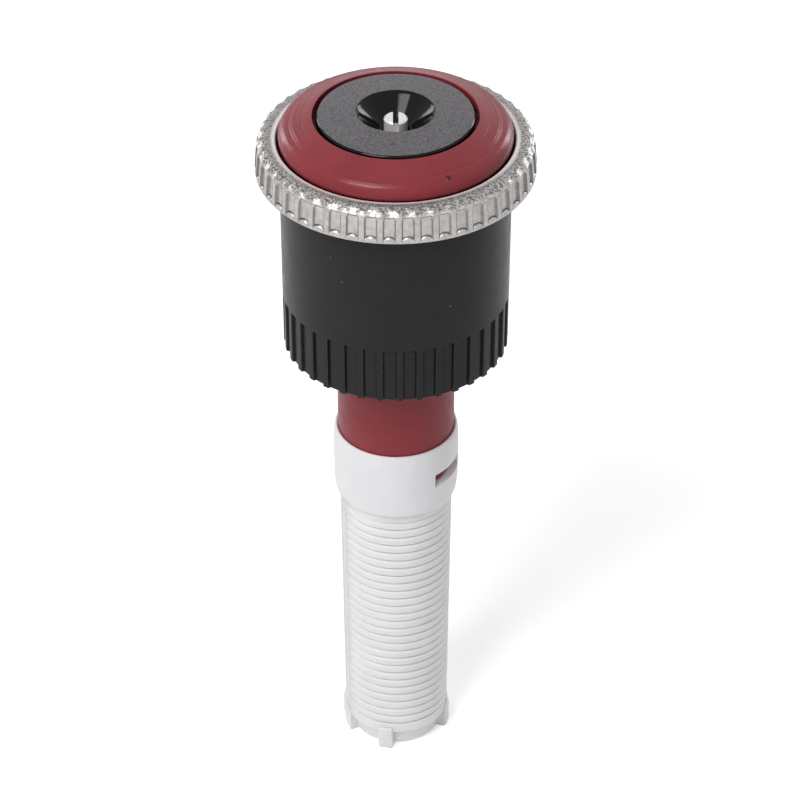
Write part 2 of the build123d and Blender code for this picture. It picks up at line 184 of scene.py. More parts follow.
def joined(*parts):
    """One bmesh from several closed ones."""
    whole = bmesh.new()
    for part in parts:
        scratch = bpy.data.meshes.new("scratch")
        part.to_mesh(scratch)
        part.free()
        whole.from_mesh(scratch)
        bpy.data.meshes.remove(scratch)
    return whole


def piece(bm, name, body, stands_for, crease=35.0):
    """Makes the named object from a bmesh, with edges sharper than the crease angle kept."""
    for face in bm.faces:
        face.smooth = True
    for edge in bm.edges:
        edge.smooth = edge.calc_face_angle(0.0) < math.radians(crease)
    mesh = bpy.data.meshes.new(name)
    bm.to_mesh(mesh)
    bm.free()
    made = bpy.data.objects.new(name, mesh)
    bpy.context.scene.collection.objects.link(made)
    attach(made, body)
    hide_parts(stands_for)
    return made


def radial_bar(r0, r1, width, z0, z1, deg, rounding):
    """Block from radius r0 to r1 at an angle from +X, with rounded edges."""
    bm = bmesh.new()
    bmesh.ops.create_cube(bm, size=1.0)
    bmesh.ops.scale(bm, vec=((r1 - r0) * MM, width * MM, (z1 - z0) * MM), verts=bm.verts)
    bmesh.ops.translate(bm, vec=((r0 + r1) / 2 * MM, 0, (z0 + z1) / 2 * MM), verts=bm.verts)
    bmesh.ops.bevel(bm, geom=bm.edges[:], offset=rounding * MM, segments=3, profile=0.5,
                    affect="EDGES", material=-1)
    bmesh.ops.rotate(bm, cent=(0, 0, 0), matrix=Matrix.Rotation(math.radians(deg), 3, "Z"),
                     verts=bm.verts)
    return bm


def ramp(value, low, high):
    """0 below low, 1 above high, straight between."""
    return min(1.0, max(0.0, (value - low) / (high - low)))


def push_radially(vert, distance):
    """Moves a vertex outwards by a distance in millimetres."""
    r = math.hypot(vert.co.x, vert.co.y)
    vert.co.x *= 1 + distance * MM / r
    vert.co.y *= 1 + distance * MM / r


COLLAR_FLOOR = 30.19
TUBE_FOOT, TUBE_FOOT_R, TUBE_TOP_R = 2.0, 5.15, 5.49
PLUG_LOW, PLUG_HIGH, PLUG_R, CLOSED = 0.2, 2.9, 4.5, 0.02
RIB_COUNT, RIB_PITCH, SLOT_WIDTH, FIRST_SLOT, RIB_ROUND = 28, 0.9645, 0.05, 3.15, 0.25
FIELD_MIDDLES, FIELD_HALF = (-85.0, 95.0), 56.0
TUBE_BORE, RIB_BORE = 4.5, 4.55
FILTER_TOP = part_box("filter_basket")[1][2] / MM
WINDOW_LOW, WINDOW_HIGH, WINDOW_FROM, WINDOW_TO = 32.94, 34.52, 39.0, 87.0


def tube_radius(z):
    """The tube narrows a little towards its feet."""
    return TUBE_FOOT_R + (TUBE_TOP_R - TUBE_FOOT_R) * (z - TUBE_FOOT) / (COLLAR_FLOOR - TUBE_FOOT)


filter_parts = []
# closing plug and the plain band under the first slot
low_edge = FIRST_SLOT - SLOT_WIDTH / 2
filter_parts.append(spun([(CLOSED, PLUG_LOW, 0), (PLUG_R, PLUG_LOW, 0.15), (PLUG_R, TUBE_FOOT, 0.1),
                          (TUBE_FOOT_R, TUBE_FOOT, 0.12), (tube_radius(low_edge), low_edge, 0.06),
                          (TUBE_BORE, low_edge, 0), (TUBE_BORE, PLUG_HIGH, 0),
                          (CLOSED, PLUG_HIGH, 0)], 96))
# plain band above the last slot
high_edge = FIRST_SLOT + (RIB_COUNT - 1) * RIB_PITCH + SLOT_WIDTH / 2
filter_parts.append(spun([(TUBE_BORE, high_edge, 0), (tube_radius(high_edge), high_edge, 0.06),
                          (TUBE_TOP_R, 30.5, 0), (TUBE_BORE, 30.5, 0)], 192))
# side walls between the fields; each sinks a little towards the fields, so that
# the ribs stand out of it there and fade into it further round
FADE_NEAR, FADE_FAR, RIB_SINK = 16.0, 46.0, 0.28
WALL_LOW, WALL_HIGH = 2.6, 30.3
for middle in FIELD_MIDDLES:
    wall_from, wall_turn = middle + FIELD_HALF, 180 - 2 * FIELD_HALF
    wall = spun([(TUBE_BORE, WALL_LOW, 0), (tube_radius(WALL_LOW), WALL_LOW, 0),
                 (TUBE_TOP_R, WALL_HIGH, 0), (TUBE_BORE, WALL_HIGH, 0)], 48, wall_turn, wall_from)
    for vert in wall.verts:
        turn = (math.degrees(math.atan2(vert.co.y, vert.co.x)) - wall_from + 1) % 360 - 1
        if math.hypot(vert.co.x, vert.co.y) > (TUBE_BORE + 0.2) * MM:
            sunk = max(1 - turn / FADE_FAR, 1 - (wall_turn - turn) / FADE_NEAR, 0.0)
            push_radially(vert, 0.01 - RIB_SINK * sunk)
    filter_parts.append(wall)
# the ribs between the slots, each a thin rounded band over one field
for k in range(RIB_COUNT - 1):
    low = FIRST_SLOT + k * RIB_PITCH + SLOT_WIDTH / 2
    high = low + RIB_PITCH - SLOT_WIDTH
    for middle in FIELD_MIDDLES:
        filter_parts.append(spun([(RIB_BORE, low, 0), (tube_radius(low), low, RIB_ROUND),
                                  (tube_radius(high), high, RIB_ROUND), (RIB_BORE, high, 0)],
                                 64, 2 * FIELD_HALF + FADE_NEAR + FADE_FAR,
                                 middle - FIELD_HALF - FADE_NEAR))
# upright bars inside the ribs
BAR_OFFSETS = (-35.0, 0.0, 35.0)
for middle in FIELD_MIDDLES:
    for off in BAR_OFFSETS:
        filter_parts.append(radial_bar(TUBE_BORE - 0.5, TUBE_BORE + 0.25, 0.8, 2.5, 30.2,
                                       middle + off, 0.08))
# feet: four blades under the plug, two of them widened round the tube's edge
FIRST_FOOT, FOOT_TOP = -102.0, 2.6
WIDE_FEET, WIDE_FOOT_DEG, WIDE_IN, WIDE_OUT = (-20.0, 160.0), 48, 4.1, 5.3
for k in range(4):
    filter_parts.append(radial_bar(0.5, 5.4, 1.5, 0.0, FOOT_TOP, FIRST_FOOT + 90 * k, 0.18))
for turn in WIDE_FEET:
    filter_parts.append(spun([(WIDE_IN, 0.0, 0), (WIDE_OUT, 0.0, 0.18), (WIDE_OUT, 2.2, 0.1),
                              (5.17, FOOT_TOP, 0), (WIDE_IN, FOOT_TOP, 0)], 24, WIDE_FOOT_DEG, turn))


def filter_collar():
    """Barrel-shaped collar with a snap window through each side."""
    bm = spun([(5.03, 31.15, 0), (5.0, COLLAR_FLOOR, 0), (5.88, COLLAR_FLOOR, 0.2),
               (6.03, 31.3, 0.4), (6.05, WINDOW_LOW, 0), (6.07, WINDOW_HIGH, 0), (6.07, 36.7, 0.5),
               (5.93, FILTER_TOP, 0.14), (5.67, FILTER_TOP, 0.08), (5.67, 36.35, 0),
               (5.03, 36.35, 0), (5.03, WINDOW_HIGH, 0), (5.03, WINDOW_LOW, 0)], 240)
    holes = []
    for face in bm.faces:
        mid = face.calc_center_median()
        level = WINDOW_LOW * MM < mid.z < WINDOW_HIGH * MM
        angle = (math.degrees(math.atan2(mid.y, mid.x)) + 90) % 180
        if level and WINDOW_FROM < angle < WINDOW_TO:
            holes.append(face)
    bmesh.ops.delete(bm, geom=holes, context="FACES")
    for side in (1, -1):
        rim = [e for e in bm.edges if e.is_boundary and e.verts[0].co.x * side > 0]
        bmesh.ops.bridge_loops(bm, edges=rim)
    bmesh.ops.recalc_face_normals(bm, faces=bm.faces)
    return bm


filter_parts.append(filter_collar())


def group_sockets(tree, inputs, outputs):
    """Declares a node group's named sockets and returns its two end nodes."""
    for name, kind, value in inputs:
        made = tree.interface.new_socket(name, in_out="INPUT", socket_type=kind)
        made.default_value = value
    for name, kind in outputs:
        tree.interface.new_socket(name, in_out="OUTPUT", socket_type=kind)
    return tree.nodes.new("NodeGroupInput"), tree.nodes.new("NodeGroupOutput")


# Moulding grain: broad cloudiness for colour, a middle scale for gloss and a
# fine scale for the skin of the plastic.
grain_group = bpy.data.node_groups.new("moulding_grain", "ShaderNodeTree")
g_in, g_out = group_sockets(
    grain_group,
    [("Fine Scale", "NodeSocketFloat", 6000.0), ("Broad Scale", "NodeSocketFloat", 180.0)],
    [("Broad", "NodeSocketFloat"), ("Middle", "NodeSocketFloat"), ("Fine", "NodeSocketFloat")])
place = grain_group.nodes.new("ShaderNodeTexCoord")
for label, socket, factor, detail in (("Broad", "Broad Scale", 1.0, 3.0),
                                      ("Middle", "Broad Scale", 6.0, 4.0),
                                      ("Fine", "Fine Scale", 1.0, 2.0)):
    times = grain_group.nodes.new("ShaderNodeMath")
    times.operation = "MULTIPLY"
    times.inputs[1].default_value = factor
    noise = grain_group.nodes.new("ShaderNodeTexNoise")
    noise.inputs["Detail"].default_value = detail
    grain_group.links.new(g_in.outputs[socket], times.inputs[0])
    grain_group.links.new(place.outputs["Object"], noise.inputs["Vector"])
    grain_group.links.new(times.outputs[0], noise.inputs["Scale"])
    grain_group.links.new(noise.outputs["Fac"], g_out.inputs[label])

# Edge mask: 1 where a rounded normal leaves the true one, broken up by noise.
edge_group = bpy.data.node_groups.new("edge_mask", "ShaderNodeTree")
e_in, e_out = group_sockets(edge_group, [("Radius", "NodeSocketFloat", 0.00012),
                                         ("Gain", "NodeSocketFloat", 4.0)],
                            [("Mask", "NodeSocketFloat")])
bevel = edge_group.nodes.new("ShaderNodeBevel")
bevel.samples = 4
true_normal = edge_group.nodes.new("ShaderNodeNewGeometry")
dot = edge_group.nodes.new("ShaderNodeVectorMath")
dot.operation = "DOT_PRODUCT"
invert = edge_group.nodes.new("ShaderNodeMath")
invert.operation = "SUBTRACT"
invert.inputs[0].default_value = 1.0
gain = edge_group.nodes.new("ShaderNodeMath")
gain.operation = "MULTIPLY"
breaks = edge_group.nodes.new("ShaderNodeTexNoise")
breaks.inputs["Scale"].default_value = 900.0
e_place = edge_group.nodes.new("ShaderNodeTexCoord")
broken = edge_group.nodes.new("ShaderNodeMath")
broken.operation = "MULTIPLY"
broken.use_clamp = True
edge_group.links.new(e_in.outputs["Radius"], bevel.inputs["Radius"])
edge_group.links.new(bevel.outputs["Normal"], dot.inputs[0])
edge_group.links.new(true_normal.outputs["Normal"], dot.inputs[1])
edge_group.links.new(dot.outputs["Value"], invert.inputs[1])
edge_group.links.new(invert.outputs[0], gain.inputs[0])
edge_group.links.new(e_in.outputs["Gain"], gain.inputs[1])
edge_group.links.new(e_place.outputs["Object"], breaks.inputs["Vector"])
edge_group.links.new(gain.outputs[0], broken.inputs[0])
edge_group.links.new(breaks.outputs["Fac"], broken.inputs[1])
edge_group.links.new(broken.outputs[0], e_out.inputs["Mask"])

# Dust: a few pale specks and short fibres that settle on dark parts.
dust_group = bpy.data.node_groups.new("dust_specks", "ShaderNodeTree")
d_in, d_out = group_sockets(dust_group, [("Scale", "NodeSocketFloat", 700.0),
                                         ("Size", "NodeSocketFloat", 0.045)],
                            [("Mask", "NodeSocketFloat")])
d_place = dust_group.nodes.new("ShaderNodeTexCoord")
cells = dust_group.nodes.new("ShaderNodeTexVoronoi")
near = dust_group.nodes.new("ShaderNodeMath")
near.operation = "LESS_THAN"
patch = dust_group.nodes.new("ShaderNodeTexNoise")
patch.inputs["Scale"].default_value = 260.0
some = dust_group.nodes.new("ShaderNodeMath")
some.operation = "GREATER_THAN"
some.inputs[1].default_value = 0.6
both = dust_group.nodes.new("ShaderNodeMath")
both.operation = "MULTIPLY"
dust_group.links.new(d_place.outputs["Object"], cells.inputs["Vector"])
dust_group.links.new(d_place.outputs["Object"], patch.inputs["Vector"])
dust_group.links.new(d_in.outputs["Scale"], cells.inputs["Scale"])
dust_group.links.new(cells.outputs["Distance"], near.inputs[0])
dust_group.links.new(d_in.outputs["Size"], near.inputs[1])
dust_group.links.new(patch.outputs["Fac"], some.inputs[0])
dust_group.links.new(near.outputs[0], both.inputs[0])
dust_group.links.new(some.outputs[0], both.inputs[1])
dust_group.links.new(both.outputs[0], d_out.inputs["Mask"])


def mix_colours(tree, factor, first, second):
    """Colour mix node; first and second are colours or sockets."""
    node = tree.nodes.new("ShaderNodeMix")
    node.data_type = "RGBA"
    tree.links.new(factor, node.inputs["Factor"])
    for socket, value in ((node.inputs["A"], first), (node.inputs["B"], second)):
        if isinstance(value, tuple):
            socket.default_value = (*value, 1.0)
        else:
            tree.links.new(value, socket)
    return node.outputs["Result"]


def remap(tree, value, low, high, from_low=0.3, from_high=0.7):
    """Map Range node from the usual span of a noise to low..high."""
    node = tree.nodes.new("ShaderNodeMapRange")
    node.inputs["From Min"].default_value = from_low
    node.inputs["From Max"].default_value = from_high
    node.inputs["To Min"].default_value = low
    node.inputs["To Max"].default_value = high
    tree.links.new(value, node.inputs["Value"])
    return node.outputs["Result"]


def moulded_plastic(name, dark, light, gloss, fine=(6000.0, 0.000004), broad=180.0,
                    wear=None, dust=None, specular=0.5, speckled=False):
    """Moulded plastic: clouded colour, uneven gloss, fine skin, worn edges and dust."""
    material = bpy.data.materials.new(name)
    material.use_nodes = True
    tree = material.node_tree
    bsdf = tree.nodes["Principled BSDF"]
    bsdf.inputs["Specular IOR Level"].default_value = specular
    grain = tree.nodes.new("ShaderNodeGroup")
    grain.node_tree = grain_group
    grain.inputs["Fine Scale"].default_value = fine[0]
    grain.inputs["Broad Scale"].default_value = broad
    cloud = grain.outputs["Fine" if speckled else "Broad"]
    colour = mix_colours(tree, remap(tree, cloud, 0.0, 1.0), dark, light)
    if wear:
        edge = tree.nodes.new("ShaderNodeGroup")
        edge.node_tree = edge_group
        colour = mix_colours(tree, edge.outputs["Mask"], colour, wear)
    rough = remap(tree, grain.outputs["Middle"], gloss[0], gloss[1])
    if dust:
        specks = tree.nodes.new("ShaderNodeGroup")
        specks.node_tree = dust_group
        colour = mix_colours(tree, specks.outputs["Mask"], colour, dust)
    tree.links.new(colour, bsdf.inputs["Base Color"])
    tree.links.new(rough, bsdf.inputs["Roughness"])
    bump = tree.nodes.new("ShaderNodeBump")
    bump.inputs["Strength"].default_value = 0.6
    bump.inputs["Distance"].default_value = fine[1]
    tree.links.new(grain.outputs["Fine"], bump.inputs["Height"])
    tree.links.new(bump.outputs["Normal"], bsdf.inputs["Normal"])
    return material, tree, bsdf


filter_plastic, _, filter_bsdf = moulded_plastic(
    "filter_plastic", (0.74, 0.73, 0.74), (0.8, 0.79, 0.8), (0.42, 0.55), wear=(0.84, 0.84, 0.84))
filter_bsdf.inputs["Subsurface Weight"].default_value = 0.35
filter_bsdf.inputs["Subsurface Radius"].default_value = (1.0, 0.98, 1.0)
filter_bsdf.inputs["Subsurface Scale"].default_value = 0.0005
filter_basket = piece(joined(*filter_parts), "filter_moulding", "base",
                      "filter_basket")
filter_basket.data.materials.append(filter_plastic)

# ---------------------------------------------------------------- stem
# The feed stem is moulded in the maroon that codes the nozzle's radius; two
# catches on its spigot sit in the filter collar's windows.
stem_maroon, _, _ = moulded_plastic("stem_maroon", (0.215, 0.021, 0.028), (0.255, 0.028, 0.036),
                                    (0.32, 0.45), wear=(0.25, 0.05, 0.06), specular=0.3)
stem_bm = spun([(4.6, 37.0, 0), (4.3, 36.4, 0), (4.3, 31.2, 0), (5.0, 31.2, 0.1), (5.0, 36.4, 0),
                (5.64, 36.4, 0), (5.64, 59.3, 0), (7.2, 59.3, 0.1), (7.2, 60.1, 0.1),
                (4.6, 60.1, 0.1)], 192)
catches = []
CATCH_SIDES = (-90.0, 90.0)
for middle in CATCH_SIDES:
    catches.append(spun([(4.8, 33.04, 0), (5.3, 33.04, 0.1), (5.2, 33.77, 0.1), (4.8, 33.77, 0)],
                        24, WINDOW_TO - WINDOW_FROM - 2, middle + WINDOW_FROM + 1))
flow_stem = piece(joined(stem_bm, *catches), "stem_moulding", "base", "flow_stem")
flow_stem.data.materials.append(stem_maroon)

# ---------------------------------------------------------------- body
# The black body is a cup with a threaded skirt; the skirt has vertical grip
# grooves, open at the mouth, for screwing it on the riser by hand.
BODY_STEPS = 720
GRIP_COUNT, GRIP_HALF, GRIP_TURN, GRIP_DEPTH, GRIP_TOP = 36, 3.0, -3.0, 0.26, 53.38
SKIRT_SKIN_R = 10.3                 # the grooves are pressed in beyond this radius
# painted shade: the near-black that the grooves' walls and top ends are darkened towards
PAINTED_SHADE_DARK = (0.003, 0.003, 0.003)
BODY_MOUTH, BODY_TOP = 47.64, 66.45
PITCH = 25.4 / 28

body_bm = spun([(8.34, BODY_MOUTH, 0.05), (10.68, BODY_MOUTH, 0.1), (10.681, BODY_MOUTH + 0.25, 0),
                (10.708, GRIP_TOP - 0.2, 0), (10.71, GRIP_TOP - 0.12, 0), (10.713, GRIP_TOP, 0),
                (10.714, GRIP_TOP + 0.1, 0), (10.797, BODY_TOP - 0.3, 0),
                (10.8, BODY_TOP, 0.15), (9.9, BODY_TOP, 0.1),
                (9.9, 64.8, 0), (10.12, 64.8, 0), (10.12, 64.2, 0), (9.9, 64.2, 0), (9.9, 59.3, 0),
                (5.68, 59.3, 0), (5.68, 57.8, 0), (7.94, 57.8, 0), (7.94, 48.04, 0)],
               BODY_STEPS)


def near_middle(angle, count, turn):
    """Degrees from the nearest of the evenly spaced middles, the first at turn from -Y."""
    pitch = 360.0 / count
    return abs((angle + 90.0 - turn + pitch / 2) % pitch - pitch / 2)


# Painted shade: each vertex gets a weight that darkens the grooves' side walls and the underside of their
# top ends, where shade falls.
groove_painted_shade = body_bm.verts.layers.float.new("painted_shade")
for vert in body_bm.verts:
    r, z = math.hypot(vert.co.x, vert.co.y) / MM, vert.co.z / MM
    angle = math.degrees(math.atan2(vert.co.y, vert.co.x))
    if r > SKIRT_SKIN_R and z < GRIP_TOP - 0.05:
        off = near_middle(angle, GRIP_COUNT, GRIP_TURN)
        inside = 1 - ramp(off, GRIP_HALF, GRIP_HALF + 0.4)
        push_radially(vert, -GRIP_DEPTH * inside)
        vert[groove_painted_shade] = max(1 - ramp(abs(off - GRIP_HALF), 0.1, 0.5),
                               inside * ramp(z, GRIP_TOP - 0.19, GRIP_TOP - 0.13))

# the riser thread: one V-shaped rib wound up the bore
THREAD_TURNS, THREAD_STEPS = 10, 72
thread_bm = bmesh.new()
ring_outline(thread_bm, [(8.1, 47.75, 0), (7.5, 48.1, 0), (7.5, 48.22, 0), (8.1, 48.57, 0)])
bmesh.ops.spin(thread_bm, geom=thread_bm.verts[:] + thread_bm.edges[:], cent=(0, 0, 0), axis=(0, 0, 1),
               dvec=(0, 0, PITCH * MM / THREAD_STEPS), angle=2 * math.pi * THREAD_TURNS,
               steps=THREAD_TURNS * THREAD_STEPS, use_merge=False, use_duplicate=False)
bmesh.ops.holes_fill(thread_bm, edges=[e for e in thread_bm.edges if e.is_boundary], sides=0)
bmesh.ops.recalc_face_normals(thread_bm, faces=thread_bm.faces)

body_black, body_tree, body_bsdf = moulded_plastic(
    "body_black", (0.0165, 0.0155, 0.017), (0.02, 0.019, 0.0205), (0.26, 0.34), broad=120.0,
    wear=(0.07, 0.07, 0.075), dust=(0.22, 0.22, 0.22), specular=0.17)
# painted shade: that weight darkens the body's colour in the grooves
body_painted_shade = body_tree.nodes.new("ShaderNodeAttribute")
body_painted_shade.attribute_name = "painted_shade"
body_plain = body_bsdf.inputs["Base Color"].links[0].from_socket
body_tree.links.new(mix_colours(body_tree, body_painted_shade.outputs["Fac"], body_plain, PAINTED_SHADE_DARK),
                    body_bsdf.inputs["Base Color"])
nozzle_body = piece(joined(body_bm, thread_bm), "body_moulding", "base", "nozzle_body")
nozzle_body.data.materials.append(body_black)

# ---------------------------------------------------------------- adjusting ring
# The arc is set by a pressed stainless ring: a flat top with a painted highlight
# on its inner lip, a scalloped shoulder, 48 pressed flutes for the fingers and a rolled foot.
FLUTES, FLUTE_HALF, FLUTE_TURN, FLUTE_DEPTH = 48, 2.2, -2.5, 0.2
FLUTE_TOP, FLUTE_ARCH, FOOT_Z, FOOT_ARCH = 69.36, 0.2, 66.98, 0.4
SHOULDER_R, SHEET_R, SHOULDER_Z, SCALLOP_DEPTH = 12.3, 12.6, 69.5, 0.11
SCALLOP_FROM, SCALLOP_FULL = 68.9, 69.3
BLASTED_FROM, BLASTED_FULL = 0.0694, 0.0697     # heights in metres, as the shader has them
LIP_FULL, LIP_END = 0.01132, 0.0116             # radii in metres
RING_STEPS = FLUTES * 24
ring_bm = spun([(11.05, 69.4, 0.1), (11.05, 70.0, 0.16), (11.9, 69.99, 0), (12.35, 69.87, 0),
                (12.6, 69.66, 0), (12.8, 69.36, 0), (12.88, 69.1, 0), (13.0, 67.6, 0),
                (13.04, 66.68, 0.2), (12.25, 66.68, 0.2), (12.25, 69.4, 0), (11.4, 69.5, 0),
                (11.4, 69.4, 0.1)], RING_STEPS, longest=0.07, beyond=SHOULDER_R)
# Painted shade: each vertex gets a weight that darkens the flutes' side walls, their feet and their tops,
# where shade falls.
painted_shade = ring_bm.verts.layers.float.new("painted_shade")
for vert in ring_bm.verts:
    r, z = math.hypot(vert.co.x, vert.co.y) / MM, vert.co.z / MM
    off = near_middle(math.degrees(math.atan2(vert.co.y, vert.co.x)), FLUTES, FLUTE_TURN)
    if r > SHOULDER_R and (r > SHEET_R or z > SHOULDER_Z):
        arch = min(1.0, off / (FLUTE_HALF + 0.2)) ** 2
        top = FLUTE_TOP - FLUTE_ARCH * arch ** 2
        foot = FOOT_Z + FOOT_ARCH * math.sqrt(1 - arch)
        across = 1 - ramp(off, FLUTE_HALF, FLUTE_HALF + 0.3)
        upright = ramp(z, foot - 0.1, foot + 0.02) * (1 - ramp(z, top - 0.06, top + 0.1))
        push_radially(vert, -FLUTE_DEPTH * across * upright)
        wall = 0.8 - 0.8 * ramp(abs(off - FLUTE_HALF - 0.15), 0.12, 0.32)
        sill = across * (1 - ramp(abs(z - foot - 0.02), 0.04, 0.1))
        head = 0.5 * across * (1 - ramp(abs(z - top), 0.04, 0.1))
        vert[painted_shade] = max(wall * ramp(z, foot - 0.1, foot) * (1 - ramp(z, top - 0.1, top)), sill, head)
        scallop = math.cos(math.pi * off * FLUTES / 180)
        vert.co.z -= (SCALLOP_DEPTH * MM * scallop * ramp(r, SHOULDER_R, SHEET_R)
                      * ramp(z, SCALLOP_FROM, SCALLOP_FULL))

ring_steel = bpy.data.materials.new("ring_steel")
ring_steel.use_nodes = True
steel = ring_steel.node_tree
steel_bsdf = steel.nodes["Principled BSDF"]
steel_bsdf.inputs["Metallic"].default_value = 1.0
steel_grain = steel.nodes.new("ShaderNodeGroup")
steel_grain.node_tree = grain_group
steel_grain.inputs["Fine Scale"].default_value = 5000.0
steel_grain.inputs["Broad Scale"].default_value = 260.0
steel_place = steel.nodes.new("ShaderNodeTexCoord")
flat = steel.nodes.new("ShaderNodeVectorMath")
flat.operation = "MULTIPLY"
flat.inputs[1].default_value = (1, 1, 0)
from_axis = steel.nodes.new("ShaderNodeVectorMath")
from_axis.operation = "LENGTH"
steel.links.new(steel_place.outputs["Object"], flat.inputs[0])
steel.links.new(flat.outputs[0], from_axis.inputs[0])
steel_mottle = mix_colours(steel, remap(steel, steel_grain.outputs["Middle"], 0.0, 1.0),
                           (0.4, 0.385, 0.37), (0.62, 0.6, 0.58))
steel_speckle = mix_colours(steel, remap(steel, steel_grain.outputs["Fine"], 0.0, 0.45),
                            steel_mottle, (0.72, 0.7, 0.68))
steel_apart = steel.nodes.new("ShaderNodeSeparateXYZ")
steel.links.new(steel_place.outputs["Object"], steel_apart.inputs[0])
# Blasted top band: a darker grey finish, with its glints painted in as pale specks.
blasted_with_glints = mix_colours(steel, remap(steel, steel_grain.outputs["Fine"], 0.0, 1.0, 0.4, 0.6),
                      (0.1, 0.096, 0.092), (0.45, 0.435, 0.42))
top_mask = remap(steel, steel_apart.outputs["Z"], 0.0, 0.9, BLASTED_FROM, BLASTED_FULL)
steel_top = mix_colours(steel, top_mask, steel_speckle, blasted_with_glints)
# painted shade: flute walls, feet and tops darkened towards a brownish grey
ring_painted_shade = steel.nodes.new("ShaderNodeAttribute")
ring_painted_shade.attribute_name = "painted_shade"
steel_shaded = mix_colours(steel, ring_painted_shade.outputs["Fac"], steel_top, (0.11, 0.095, 0.085))
# painted highlight: near-white, mostly non-metallic colour along the inner lip
lip_highlight_mask = remap(steel, from_axis.outputs["Value"], 1.0, 0.0, LIP_FULL, LIP_END)
steel_colour = mix_colours(steel, lip_highlight_mask, steel_shaded, (0.8, 0.78, 0.76))
steel.links.new(remap(steel, lip_highlight_mask, 1.0, 0.3, 0.0, 1.0), steel_bsdf.inputs["Metallic"])
steel.links.new(steel_colour, steel_bsdf.inputs["Base Color"])
steel.links.new(remap(steel, steel_grain.outputs["Middle"], 0.3, 0.46), steel_bsdf.inputs["Roughness"])
steel_bump = steel.nodes.new("ShaderNodeBump")
steel_bump.inputs["Strength"].default_value = 0.7
steel_bump.inputs["Distance"].default_value = 0.000026
steel.links.new(steel_grain.outputs["Fine"], steel_bump.inputs["Height"])
steel.links.new(steel_bump.outputs["Normal"], steel_bsdf.inputs["Normal"])
arc_ring = piece(ring_bm, "arc_ring", "arc_adjuster", "arc_ring_sleeve", crease=40)
arc_ring.data.materials.append(ring_steel)

# ---------------------------------------------------------------- stream plate
# The rotor is one maroon moulding: a rounded top band round the cap, and below
# it a cone with sixteen swept channels that throw the water as streams.
PLATE_STEPS = 480
STREAMS, STREAM_HALF, STREAM_EDGE, STREAM_SWEEP, STREAM_DEPTH = 16, 5.6, 1.2, 9.0, 0.6
CONE_LOW, CONE_HIGH, CONE_FOOT_R, CONE_SPREAD = 61.6, 69.7, 2.6, 8.0
TURNING_LINES = 2600.0              # per metre of radius
plate_bm = spun([(1.3, 61.6, 0.1), (2.6, 61.6, 0.15), (4.9, 63.62, 0), (6.85, 65.65, 0),
                 (8.75, 67.6, 0), (10.6, 69.7, 0.08), (10.86, 69.92, 0.1), (10.84, 70.5, 0),
                 (10.66, 71.03, 0.3), (10.15, 71.47, 0.2), (9.86, 71.49, 0.03), (9.72, 71.6, 0.06),
                 (7.69, 72.4, 0.08), (7.69, 70.9, 0),
                 (5.7, 70.9, 0), (5.7, 66.2, 0), (2.0, 66.2, 0), (2.0, 64.2, 0), (1.3, 64.2, 0)],
                PLATE_STEPS, longest=0.3)
for vert in plate_bm.verts:
    r, z = math.hypot(vert.co.x, vert.co.y) / MM, vert.co.z / MM
    chord = (z - CONE_LOW) / (CONE_HIGH - CONE_LOW)
    on_cone = abs(r - (CONE_FOOT_R + CONE_SPREAD * chord)) < 0.45 and r > 3.0
    if on_cone and z < 69.85:
        angle = math.degrees(math.atan2(vert.co.y, vert.co.x)) - STREAM_SWEEP * chord
        inside = 1 - ramp(near_middle(angle, STREAMS, 0.0), STREAM_HALF - STREAM_EDGE,
                          STREAM_HALF + STREAM_EDGE)
        push_radially(vert, -STREAM_DEPTH * 1.2 * inside * ramp(r, 3.0, 4.4))

rotor_maroon, rotor_tree, rotor_bsdf = moulded_plastic(
    "rotor_maroon", (0.215, 0.02, 0.028), (0.26, 0.028, 0.037), (0.2, 0.33), wear=(0.3, 0.06, 0.07),
    specular=0.32)
ring_place = rotor_tree.nodes.new("ShaderNodeTexCoord")
level_out = rotor_tree.nodes.new("ShaderNodeVectorMath")
level_out.operation = "MULTIPLY"
level_out.inputs[1].default_value = (1, 1, 0)
radius_out = rotor_tree.nodes.new("ShaderNodeVectorMath")
radius_out.operation = "LENGTH"
lines = rotor_tree.nodes.new("ShaderNodeTexNoise")
lines.noise_dimensions = "1D"
lines.inputs["Scale"].default_value = TURNING_LINES
lines.inputs["Detail"].default_value = 2.0
lines_bump = rotor_tree.nodes.new("ShaderNodeBump")
lines_bump.inputs["Strength"].default_value = 0.5
lines_bump.inputs["Distance"].default_value = 0.00014
to_gate = rotor_tree.nodes.new("ShaderNodeVectorMath")
to_gate.operation = "DISTANCE"
GATE_R, GATE_Z, GATE_DEG = 10.25, 71.27, -62.5
GATE_IN, GATE_OUT = 0.00015, 0.00028     # radii in metres
to_gate.inputs[1].default_value = (GATE_R * MM * math.cos(math.radians(GATE_DEG)),
                                   GATE_R * MM * math.sin(math.radians(GATE_DEG)), GATE_Z * MM)
gate_bump = rotor_tree.nodes.new("ShaderNodeBump")
gate_bump.inputs["Distance"].default_value = 0.0002
rotor_tree.links.new(ring_place.outputs["Object"], level_out.inputs[0])
rotor_tree.links.new(level_out.outputs[0], radius_out.inputs[0])
rotor_tree.links.new(radius_out.outputs["Value"], lines.inputs["W"])
rotor_tree.links.new(lines.outputs["Fac"], lines_bump.inputs["Height"])
rotor_tree.links.new(ring_place.outputs["Object"], to_gate.inputs[0])
